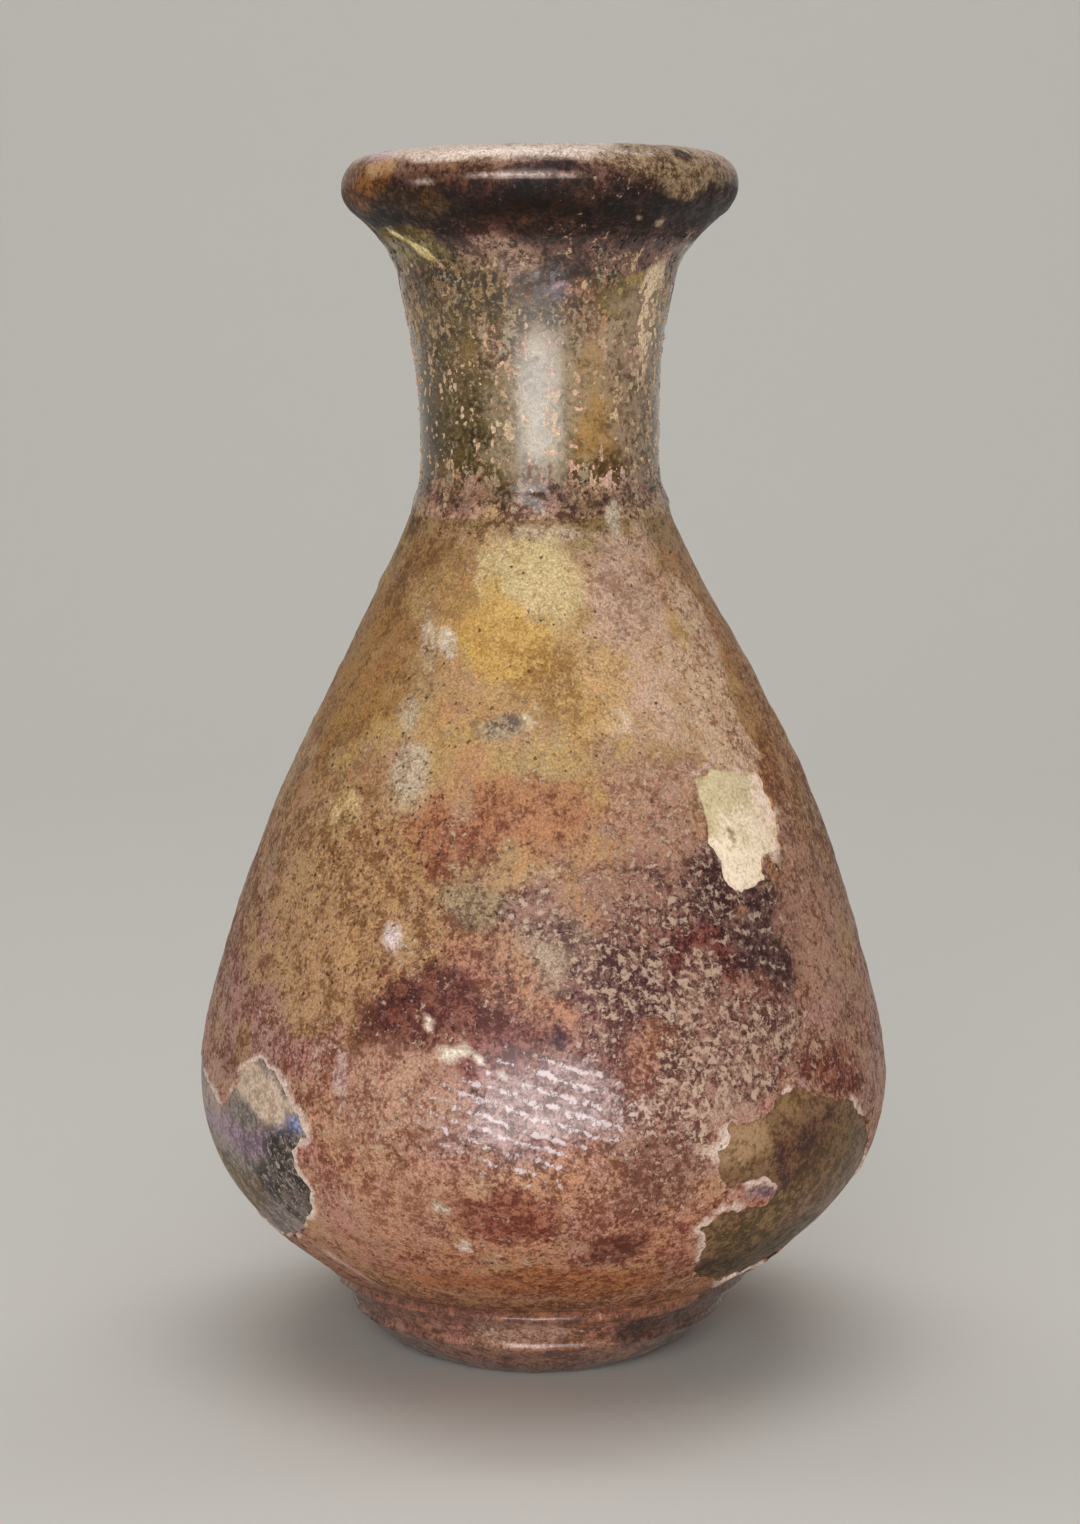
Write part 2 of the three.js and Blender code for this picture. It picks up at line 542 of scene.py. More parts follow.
SPECK_BANDS = (
    Band(86, "#AC8A62", "#64442A", 0.42),
    Band(88.0, "#C29C7E", "#64402E", 0.5),
    Band(90.3, "#94705A", "#40281A", 0.58),
    Band(94, "#DEBC98", "#946E4C", 0.34),
    Band(108, "#D4B290", "#886648", 0.36),
    Band(113, "#8C6A56", "#40281C", 0.54),
    Band(115.5, "#7A5646", "#3A2018", 0.56),
    # Near black below the lip: painted shade under its roll.
    Band(117.3, "#4A2E22", "#1C0D08", 0.6),
)

STAINS = (
    # The lip and the funnel.
    Stain(-64, 121.2, 7, 3, "#A0601E", "#542C08", 0.48, 0.9, 0.25),
    Stain(-52, 123, 2.6, 1, "#C89C70", "#8A5C34", 0.3, 0.8, 0.3),
    Stain(-56, 115.6, 6.5, 2.2, "#A08A50", "#5E4A20", 0.45, 0.8, 0.35, 14),
    # Two small bright yellow streaks on the funnel's left: painted glints of light shining through the amber
    # glass.
    Stain(-59, 116.4, 2.6, 0.45, "#F6E8A8", "#B8A050", 0.35, 1, 0.6, 30),
    Stain(-48.5, 114.6, 1.5, 0.5, "#FFF2B8", "#C8AE5C", 0.3, 1, 0.6, 35),
    # A pale line along the lip's ridge: a painted highlight that draws the lamps' reflection out along it.
    Stain(-16, 121.55, 10, 0.25, "#E0C4B6", "#A07C6C", 0.3, 0.85, 0.5, -1),
    # A pale band over the lip's top: painted light from above.
    Stain(-6, 124.5, 17, 1, "#E6D0C0", "#B09080", 0.25),
    Stain(46, 122.9, 9, 2.8, "#B09370", "#5A4028", 0.42, 0.85, 0.45),
    Stain(-48, 119.6, 8, 1.5, "#6A4622", "#34200C", 0.52, 0.6, 0.2),
    Stain(46, 123.9, 1, 0.5, "#3A1C14", "#1C0C08", 0.6, 0.85, 0.4),
    Stain(4, 122.5, 1.8, 0.8, "#3C1A18", "#1C0A08", 0.6, 0.85, 0.1),
    Stain(34, 117.8, 0.6, 0.4, "#C8AC90", "#8E7054", 0.3, 0.8, 0.4),
    Stain(44, 117.4, 0.6, 0.4, "#C8AC90", "#8E7054", 0.3, 0.8, 0.4),
    Stain(-10, 113.6, 5, 2, "#A88672", "#5C3C2E", 0.45, 0.8),
    Stain(10, 112.4, 3.4, 3.2, "#5C3836", "#2C1210", 0.6, 0.8, 0.35),
    Stain(9, 110.6, 1.8, 1, "#B498A0", "#70525A", 0.35),
    Stain(21, 109, 2.6, 2.8, "#A87A50", "#6C4426", 0.42, 0.75, 0.6),
    Stain(43, 110.4, 2.8, 3, "#A88E54", "#7A6432", 0.35, 0.9, 0.1),
    Stain(56, 109, 1.9, 6, "#F6D8B2", "#C09A70", 0.28, 0.95),
    Stain(-40, 109.5, 6, 4, "#867040", "#4E3C1C", 0.45, 0.6, 0.55),
    # The neck.
    Stain(-45, 99, 5.5, 6, "#7E6634", "#463616", 0.5, 0.75),
    Stain(27, 97.5, 3.4, 6.4, "#F0C07C", "#B88E4C", 0.34, 0.9, 0.42),
    # A pale stripe down the neck's front: a painted highlight that widens the lamp's reflection on the glass.
    Stain(1, 99, 4.2, 8, "#D8C09C", "#98805A", 0.32, 0.8, 0.55),
    Stain(16.5, 99, 0.25, 4.4, "#DCC8A0", "#B09A70", 0.3, 0.7),
    Stain(50, 101, 3.6, 10, "#DEBC98", "#8C6C50", 0.38, 0.9, 0.6),
    Stain(-72, 95, 3, 6, "#5E4E20", "#30260A", 0.5, 0.7, 0.4),
    Stain(33, 88.2, 1.1, 2, "#D4C4B0", "#A28C78", 0.35, 0.7, 0.5, 12),
    Stain(6, 90.4, 5, 0.28, "#40261A", "#22100A", 0.5, 0.85, 0),
    Stain(5, 86.6, 4.6, 0.6, "#CDB496", "#8C6E52", 0.4, 0.8, 0.75),
    # The shoulder.
    Stain(-1, 81.2, 5.4, 4.2, "#DAC290", "#BC9C66", 0.34, 0.8, 0.35, 20),
    Stain(-11, 75, 5.5, 4.6, "#CDA25A", "#B08440", 0.35, 0.9, 0.25),
    Stain(-5, 68.7, 1.6, 1.1, "#E8D6AE", "#B79C70", 0.2, 1, 0.6),
    Stain(18, 68.9, 1.8, 1.4, "#E4D0A2", "#B99C6C", 0.2, 1, 0.6),
    Stain(-9, 68.2, 3.6, 1.5, "#B4A084", "#5E5044", 0.5),
    Stain(7, 75.4, 1.8, 0.6, "#8E7458", "#5C4632", 0.5, 0.8, 0.4),
    Stain(-29, 75.4, 0.9, 2.6, "#EAD6BC", "#A88A66", 0.35, 0.9, 0.65, -32),
    Stain(-37.5, 76.6, 0.9, 3.6, "#E4CEB0", "#A2845E", 0.38, 0.85, 0.65, -24),
    Stain(-33, 71.5, 4.2, 3.2, "#AE926A", "#7E6442", 0.42, 0.7, 0.4),
    Stain(28, 75.5, 5.4, 11, "#D2AE98", "#A07A66", 0.36, 0.8, 0.5, 8),
    Stain(-66, 72, 9, 11, "#9C6A34", "#60381A", 0.45, 0.7, 0.25),
    Stain(70, 72, 9, 11, "#B0794A", "#683A1C", 0.48),
    Stain(6, 72, 7, 4.5, "#C39A5E", "#8E642F", 0.4, 0.7, 0.4),
    Stain(50, 72, 4, 9, "#E2BE9C", "#9A6C4E", 0.38, 0.85, 0.65, 14),
    # The body's left.
    Stain(-46, 59.4, 3, 2.2, "#EED49E", "#B8985E", 0.28, 1, 0.4),
    Stain(-32, 63.8, 2.4, 5.2, "#CAB69C", "#927656", 0.38, 0.85, 0.5, -12),
    Stain(-42, 50, 12, 13, "#BA9266", "#7E5430", 0.45, 0.8, 0.35),
    Stain(-28, 48.3, 1.5, 1.8, "#E0C8C4", "#A58878", 0.25, 0.95),
    Stain(-19, 57, 5.5, 3.6, "#A8684A", "#703220", 0.52, 0.7, 0.45),
    Stain(-3, 60.8, 6, 3.6, "#B07450", "#743A20", 0.5, 0.75, 0.4),
    Stain(-14, 52.5, 3, 2.6, "#A08C6C", "#64503A", 0.45, 0.75),
    Stain(-19, 41.8, 7, 3.2, "#864A3C", "#4A1C1A", 0.6, 0.85, 0.46, -18),
    Stain(-25, 43.2, 3, 2.6, "#7A4236", "#421816", 0.6, 0.85, 0.42),
    Stain(-6, 38.6, 6.6, 2.4, "#8C5046", "#542420", 0.58, 0.85, 0.42, -22),
    Stain(8, 37, 6, 2.4, "#8C584E", "#562C2A", 0.52, 0.75, 0.48, -20),
    Stain(13, 40.5, 8, 3.8, "#A2766A", "#5A302E", 0.54, 0.85, 0.58, -14),
    Stain(21, 31.5, 8, 7, "#BC9482", "#643A32", 0.5, 0.8, 0.7),
    Stain(2.5, 39.6, 1, 1, "#5A3444", "#3C1A22", 0.7, 1, 0),
    Stain(-14, 38.1, 1.6, 0.6, "#F2E6D0", "#D0B898", 0.15, 1, 0.6, -12),
    Stain(-10, 37.4, 0.7, 0.5, "#F0E4D0", "#D0B898", 0.15, 1, 0.4),
    Stain(-6.2, 36, 0.7, 0.5, "#F0E0D4", "#D0B898", 0.15, 1, 0.4),
    Stain(-18.8, 40.7, 0.35, 0.6, "#ECD8C8", "#C0A088", 0.2, 1, 0.4),
    Stain(-33, 34.8, 0.7, 2.3, "#D0B0B0", "#A87C74", 0.3, 0.8, 0.6, -5),
    Stain(-32.4, 23.2, 0.9, 1.9, "#D4B4AC", "#AC8070", 0.3, 0.8, 0.6),
    Stain(-43.4, 13.6, 0.7, 2.6, "#DCB2A2", "#B48474", 0.25, 0.85, 0.5, -30),
    # The body's right.
    Stain(4, 47.8, 3.8, 4, "#B8A28C", "#7E6650", 0.45, 0.8, 0.55),
    Stain(25, 49, 13, 9, "#94685A", "#441F20", 0.58, 0.9, 0.66, -8),
    Stain(18, 43.5, 8, 4.2, "#8A5C54", "#422222", 0.6, 0.8, 0.68, -10),
    Stain(43, 47, 6, 6.2, "#6E4E48", "#341C1E", 0.66, 0.95, 0.52, 12),
    Stain(28, 45.4, 4.4, 3.4, "#86443A", "#3C100E", 0.62, 0.85, 0.45),
    Stain(34, 53, 4, 3, "#784E46", "#3A1C1E", 0.65, 0.85, 0.6),
    Stain(14, 53.5, 6, 4, "#A07464", "#5C3428", 0.52, 0.7, 0.6),
    Stain(31, 38, 11, 6, "#A47868", "#54302A", 0.58, 0.85, 0.72),
    Stain(57, 46, 6, 10, "#B0826C", "#744A3A", 0.45, 0.75),
    Stain(24, 61, 5.5, 5.5, "#B88E78", "#8A5C48", 0.42, 0.7),
    Stain(52, 33.6, 6.5, 2.2, "#9A5038", "#54201A", 0.55, 0.85, 0.55, 14),
    Stain(36, 23.2, 3, 1.2, "#9C8088", "#5C404A", 0.5, 0.8),
    # The gloss zone, the lower body and the foot.
    Stain(-3, 32.4, 9.5, 4.4, "#B8948E", "#74504C", 0.5, 0.85, 0.55, -12),
    Stain(-22, 33, 6, 5, "#BE947C", "#8A5A46", 0.4, 0.7),
    Stain(-6, 22.5, 6, 2.4, "#985640", "#62281A", 0.56, 0.75, 0.4),
    Stain(13, 18.6, 3.8, 1.8, "#80483A", "#4C2018", 0.58, 0.75, 0.35),
    Stain(17, 25.5, 6.5, 4.5, "#A47460", "#6E4030", 0.48, 0.7),
    Stain(-28, 22.5, 8, 5, "#B88A6E", "#8E5E46", 0.4, 0.7, 0.4),
    Stain(2, 14, 12, 1.8, "#A8663C", "#703A1C", 0.45, 0.7, 0.3),
    Stain(-16, 22.8, 0.75, 0.5, "#EADBC8", "#A08C70", 0.35, 0.9, 0.6, -20),
    Stain(-13, 18.7, 0.9, 0.5, "#ECD8CC", "#B09080", 0.35, 0.9, 0.6, -25),
    Stain(-4, 6.4, 7, 1.4, "#BE9884", "#7E5646", 0.36, 0.7, 0.55),
    # Darker over the foot's right and left sides: painted shade where the foot turns away from the light.
    Stain(62, 6, 11, 5, "#5C3C30", "#2A1812", 0.55, 0.85, 0.3),
    Stain(-72, 6, 10, 5, "#80543E", "#42241A", 0.52, 0.7, 0.35),
)


# Finishes


def add_node(tree: bpy.types.NodeTree, name: str, kind: str, settings: dict[str | int, object],
             links: dict[str | int, str]) -> bpy.types.Node:
    """Adds a node with its settings and links.

    Args:
        tree: The node tree it goes into.
        name: What it is called in the tree.
        kind: Its Blender type, after "ShaderNode".
        settings: Values for its properties, or for its inputs by their names or numbers.
        links: What feeds its inputs, by their names or numbers: another node's name, followed by a colon and an
            output's name or number where that isn't the first output.

    Returns:
        The new node.
    """
    node = tree.nodes.new(f"ShaderNode{kind}")
    node.name = name
    for key, value in settings.items():
        if isinstance(key, str) and hasattr(node, key):
            setattr(node, key, value)
        else:
            node.inputs[key].default_value = value
    for key, source in links.items():
        origin, _, output = source.partition(":")
        which = output if output.isalpha() else int(output or 0)
        tree.links.new(tree.nodes[origin].outputs[which], node.inputs[key])
    return node


class Surface(Enum):
    """What a face of the bottle is made of, and its material's place on the wall."""

    CRUST = 0
    GLASS = 1
    BARED = 2
    INSIDE = 3


class Part(Enum):
    """Which part of the surface a piece is: the wall, the crust's broken edges, or the specks on the neck."""

    WALL = "wall"
    EDGE = "edge"
    SPECKS = "specks"


@dataclass(frozen=True)
class Mottle:
    """Mottled weathering: the ground and the shade of each place, broken up in grains.

    Attributes:
        blotch: How wide the blotches of shade are, in millimetres.
        grain: How wide the grains at their edges are, in millimetres.
        fleck: How wide the finest unevenness is, in millimetres.
        pits: How far apart the dark pits are, in millimetres.
        depth: How deep the grains stand in the relief, in millimetres.
        contrast: How much the finest unevenness lightens and darkens.
        chip: How wide the pale grains are, in millimetres.
        pitch: How far apart the slanting lines of the blowing are, in millimetres.
        LAYERS: The piece's layers that it reads.
        ALONG: The direction across the slanting lines.
    """

    blotch: float = 1.8
    grain: float = 0.5
    fleck: float = 0.24
    pits: float = 0.6
    depth: float = 0.08
    contrast: float = 0.4
    chip: float = 0.75
    pitch: float = 1.35

    LAYERS: ClassVar = ("ground", "shade", "fresh", "cover", "coarse", "pale", "striae", "polish", "gloss")
    ALONG: ClassVar = (0.3, 0.0, 0.954)

    def grow(self, tree: bpy.types.NodeTree) -> None:
        """Adds the nodes of the mottling, which end in "flecked" (the colour), "bump" and "shaded".

        Args:
            tree: The material's node tree.
        """
        add_node(tree, "place", "TexCoord", {}, {})
        for name in self.LAYERS:
            add_node(tree, name, "Attribute", {"attribute_name": name}, {})
        for name, size, detail, rough, warp in (
            ("blotch", self.blotch, 8.0, 0.7, 0.25), ("grain", self.grain, 3.0, 0.75, 0.25),
            ("fleck", self.fleck, 2.0, 0.6, 0.25), ("chip", self.chip, 5.0, 0.75, 0.25),
            ("wobble", 0.4, 1.0, 0.5, 0.0), ("bent", 3.0, 3.0, 0.5, 0.0),
        ):
            settings = {"Scale": 1 / (size * MM), "Detail": detail, "Roughness": rough, "Distortion": warp}
            add_node(tree, name, "TexNoise", settings, {"Vector": "place:Object"})
        for row in (*self._blend(), *self._pit(), *self._draw(), *self._chip(), *self._raise()):
            add_node(tree, *row)

    def _blend(self) -> tuple[Row, ...]:
        """The ground and the shade, which lies where the grains are lower than the layer says.

        Returns:
            Its nodes' rows.
        """
        tones = {"From Min": 0.3, "From Max": 0.7, "To Min": 1 - self.contrast, "To Max": 1 + self.contrast}
        return (
            ("mixed", "Math", {"operation": "MULTIPLY_ADD", 1: 0.9}, {0: "grain", 2: "blotch"}),
            ("level", "MapRange", {"To Min": 0.74, "To Max": 1.16}, {"Value": "cover:Fac"}),
            ("over", "Math", {"operation": "SUBTRACT"}, {0: "level", 1: "mixed"}),
            ("shaded", "MapRange", {"From Min": -0.1, "From Max": 0.1}, {"Value": "over"}),
            ("colour", "Mix", {"data_type": "RGBA"}, {0: "shaded", 6: "ground", 7: "shade"}),
            ("tone", "MapRange", tones, {"Value": "fleck"}),
            ("lit", "VectorMath", {"operation": "SCALE"}, {0: "colour:2", "Scale": "tone"}),
        )

    def _pit(self) -> tuple[Row, ...]:
        """Dark pits of uneven size, as many as the layer says.

        Returns:
            Their nodes' rows.
        """
        return (
            ("moved", "VectorMath", {"operation": "MULTIPLY_ADD", 1: (0.5 * MM,) * 3},
             {0: "wobble:Color", 2: "place:Object"}),
            ("cells", "TexVoronoi", {"Scale": 1 / (self.pits * MM)}, {"Vector": "moved"}),
            ("chance", "SeparateColor", {}, {0: "cells:Color"}),
            ("reach", "MapRange", {"To Min": 0.04, "To Max": 0.34}, {"Value": "chance:1"}),
            ("inward", "Math", {"operation": "SUBTRACT"}, {0: "reach", 1: "cells:Distance"}),
            ("hole", "MapRange", {"From Min": -0.04, "From Max": 0.08}, {"Value": "inward"}),
            ("kept", "Math", {"operation": "LESS_THAN"}, {0: "chance", 1: "coarse:Fac"}),
            ("pit", "Math", {"operation": "MULTIPLY"}, {0: "hole", 1: "kept"}),
            ("deep", "VectorMath", {"operation": "SCALE", "Scale": 0.28}, {0: "lit"}),
            ("dark", "Mix", {"data_type": "RGBA"}, {0: "pit", 6: "lit", 7: "deep"}),
        )

    def _draw(self) -> tuple[Row, ...]:
        """Slanting lines, bent and broken up by noise, as a wave from -1 to 1 where the layer says.

        Returns:
            Their nodes' rows.
        """
        return (
            ("along", "VectorMath", {"operation": "DOT_PRODUCT", 1: self.ALONG}, {0: "place:Object"}),
            ("turns", "Math", {"operation": "MULTIPLY", 1: 2 * math.pi / (self.pitch * MM)}, {0: "along:Value"}),
            ("shifted", "Math", {"operation": "MULTIPLY_ADD", 1: 7.0}, {0: "bent", 2: "turns"}),
            ("wave", "Math", {"operation": "SINE"}, {0: "shifted"}),
            ("lines", "Math", {"operation": "MULTIPLY"}, {0: "wave", 1: "striae:Fac"}),
        )

    def _chip(self) -> tuple[Row, ...]:
        """Pale grains, as thick as the layer says, and thicker where the slanting lines crest.

        Returns:
            Their nodes' rows.
        """
        return (
            ("speck", "Math", {"operation": "MULTIPLY_ADD", 1: 0.1}, {0: "lines", 2: "chip"}),
            ("bar", "MapRange", {"To Min": 0.76, "To Max": 0.36}, {"Value": "pale:Fac"}),
            ("past", "Math", {"operation": "SUBTRACT"}, {0: "speck", 1: "bar"}),
            ("white", "MapRange", {"From Max": 0.06}, {"Value": "past"}),
            ("flecked", "Mix", {"data_type": "RGBA"}, {0: "white", 6: "dark:2", 7: "fresh"}),
        )

    def _raise(self) -> tuple[Row, ...]:
        """The relief of the grains, the chips, the lines and the pits, fainter where the surface is polished.

        Returns:
            Its nodes' rows.
        """
        return (
            ("uneven", "Math", {"operation": "MULTIPLY_ADD", 1: 0.5}, {0: "fleck", 2: "grain"}),
            ("chipped", "Math", {"operation": "MULTIPLY_ADD", 1: 0.5}, {0: "white", 2: "uneven"}),
            ("raised", "Math", {"operation": "MULTIPLY_ADD", 1: 0.6}, {0: "lines", 2: "chipped"}),
            ("dented", "Math", {"operation": "SUBTRACT"}, {0: "raised", 1: "pit"}),
            ("smooth", "MapRange", {"To Min": 1.0, "To Max": 0.1}, {"Value": "polish:Fac"}),
            ("bump", "Bump", {"Distance": self.depth * MM}, {"Height": "dented", "Strength": "smooth"}),
        )


@dataclass(frozen=True)
class Finish:
    """A finish of the bottle: soda-lime glass, or what weathering has made of it.

    Attributes:
        name: What the real one is and how its surface was made.
        mottle: Its mottling.
        rough: The roughness of its smooth and of its coarse grains.
        coat: How much of a polished layer lies over it where its gloss is full.
        clear: How much of the light passes into it.
        ior: How strongly it bends light.
        shine: How strongly its own surface reflects, where 0.5 is as its bending of light makes it.
    """

    name: str
    mottle: Mottle
    rough: tuple[float, float]
    coat: float = 0.0
    clear: float = 0.0
    ior: float = 1.5
    shine: float = 0.3

    def material(self) -> bpy.types.Material:
        """The finish's material, which is made once and shared by the pieces that have it.

        Returns:
            The material.
        """
        if self.name in bpy.data.materials:
            return bpy.data.materials[self.name]
        made = bpy.data.materials.new(self.name)
        made.use_nodes = True
        tree = made.node_tree
        tree.nodes.clear()
        self.mottle.grow(tree)
        plain = {"IOR": self.ior, "Transmission Weight": self.clear, "Coat Roughness": 0.16,
                 "Specular IOR Level": self.shine}
        fed = {"Base Color": "flecked:2", "Roughness": "rough", "Normal": "bump", "Coat Weight": "coat"}
        for row in (
            ("rough", "MapRange", {"To Min": self.rough[0], "To Max": self.rough[1]}, {"Value": "shaded"}),
            ("coat", "Math", {"operation": "MULTIPLY", 1: self.coat}, {0: "gloss:Fac"}),
            ("shader", "BsdfPrincipled", plain, fed),
            ("output", "OutputMaterial", {}, {"Surface": "shader"}),
        ):
            add_node(tree, *row)
        return made


# Glass that lay in the ground for centuries grows a crust of hydrated silica, dull and granular, stained by
# iron and manganese, with a slight polish where it was handled.
CRUST = Finish("soda-lime glass, weathered to an iron-stained silica crust", Mottle(), (0.42, 0.66), 0.9)

# Blown soda-lime glass, coloured olive to amber by iron, still fire-polished under a thin stain.
GLASS = Finish(
    "soda-lime glass, free-blown, olive-amber",
    Mottle(2.0, 0.5, 0.26, 1.2, 0.024, 0.24, 0.5), (0.16, 0.32), 0.9, 0.5, 1.52, 0.5,
)

# Where the crust flaked off, the glass below is smooth but still weathered, clouded grey, brown or blue.
BARED = Finish(
    "soda-lime glass, clouded where its crust flaked",
    Mottle(1.6, 0.6, 0.3, 1.4, 0.014, 0.2, 0.5), (0.4, 0.55), 0.9,
)

# The inside keeps a dull film of earth and lime that dried on the blown wall.
INSIDE = Finish(
    "soda-lime glass, blown, under a dried earth deposit", Mottle(3.0, 0.8, 0.4, 1.6, 0.03, 0.2), (0.6, 0.8),
)


# Tools for meshes


def clear_selection() -> None:
    """Deselects everything, so that an operator acts on what is chosen next alone."""
    bpy.ops.object.select_all(action="DESELECT")


def choose(piece: bpy.types.Object) -> None:
    """Makes one piece the only one selected, and the active one.

    Args:
        piece: The piece.
    """
    clear_selection()
    piece.select_set(True)
    bpy.context.view_layer.objects.active = piece


def new_piece(name: str, places: Points, edges: list[tuple[int, int]], faces: list[list[int]]) -> bpy.types.Object:
    """Makes a piece of a mesh, and the only one selected.

    Args:
        name: What it is called.
        places: Where its vertices are, in millimetres.
        edges: Pairs of vertices that are joined by an edge alone.
        faces: The vertices of each face.

    Returns:
        The piece.
    """
    mesh = bpy.data.meshes.new(name)
    mesh.from_pydata(places * MM, edges, faces)
    piece = bpy.data.objects.new(name, mesh)
    bpy.context.scene.collection.objects.link(piece)
    choose(piece)
    return piece


def read_places(piece: bpy.types.Object) -> Points:
    """The places of a piece's vertices, in millimetres.

    Args:
        piece: The piece.

    Returns:
        A place for each vertex.
    """
    flat = np.empty(len(piece.data.vertices) * 3)
    piece.data.vertices.foreach_get("co", flat)
    return flat.reshape(-1, 3) / MM


def write_places(piece: bpy.types.Object, places: Points) -> None:
    """Puts a piece's vertices at places given in millimetres."""
    piece.data.vertices.foreach_set("co", (places * MM).ravel())
    piece.data.update()


def read_normals(piece: bpy.types.Object) -> Points:
    """The directions that a piece's vertices face.

    Args:
        piece: The piece.

    Returns:
        A direction for each vertex, of length 1.
    """
    flat = np.empty(len(piece.data.vertices) * 3)
    piece.data.vertex_normals.foreach_get("vector", flat)
    return flat.reshape(-1, 3)


def cut(places: Points, corners: np.ndarray, left: Values) -> tuple[Points, np.ndarray]:
    """Cuts a mesh of triangles along the line where a value turns from more than 0 to less.

    Args:
        places: The mesh's places.
        corners: The places' numbers at each triangle's corners.
        left: The value at each place, more than 0 where the mesh is kept.

    Returns:
        The places and the triangles that are left.
    """
    kept = left > 0
    count = kept[corners].sum(axis=1)
    pieces = [corners[count == 3]]
    one = _turn_lone(corners[count == 1], kept[corners[count == 1]])
    two = _turn_lone(corners[count == 2], ~kept[corners[count == 2]])
    ends = np.vstack([
        np.column_stack([one[:, 0], one[:, 1]]), np.column_stack([one[:, 0], one[:, 2]]),
        np.column_stack([two[:, 0], two[:, 1]]), np.column_stack([two[:, 0], two[:, 2]]),
    ])
    ends.sort(axis=1)
    edges, which = np.unique(ends, axis=0, return_inverse=True)
    share = left[edges[:, 0]] / (left[edges[:, 0]] - left[edges[:, 1]])
    crossed = places[edges[:, 0]] + (places[edges[:, 1]] - places[edges[:, 0]]) * share[:, None]
    which = which.ravel() + len(places)
    n, m = len(one), len(two)
    pieces.append(np.column_stack([one[:, 0], which[:n], which[n : 2 * n]]))
    first, second = which[2 * n : 2 * n + m], which[2 * n + m :]
    pieces.append(np.column_stack([first, two[:, 1], two[:, 2]]))
    pieces.append(np.column_stack([first, two[:, 2], second]))
    every = np.vstack([places, crossed])
    faces = np.vstack(pieces)
    used, renumbered = np.unique(faces, return_inverse=True)
    return every[used], renumbered.reshape(faces.shape)


def _turn_lone(corners: np.ndarray, lone: np.ndarray) -> np.ndarray:
    """Turns each triangle so that its one corner that differs comes first.

    Args:
        corners: The places' numbers at each triangle's corners.
        lone: Which corner differs, as one True in each row.

    Returns:
        The same triangles, turned.
    """
    start = lone.argmax(axis=1)
    order = (start[:, None] + np.arange(3)) % 3
    return np.take_along_axis(corners, order, axis=1)


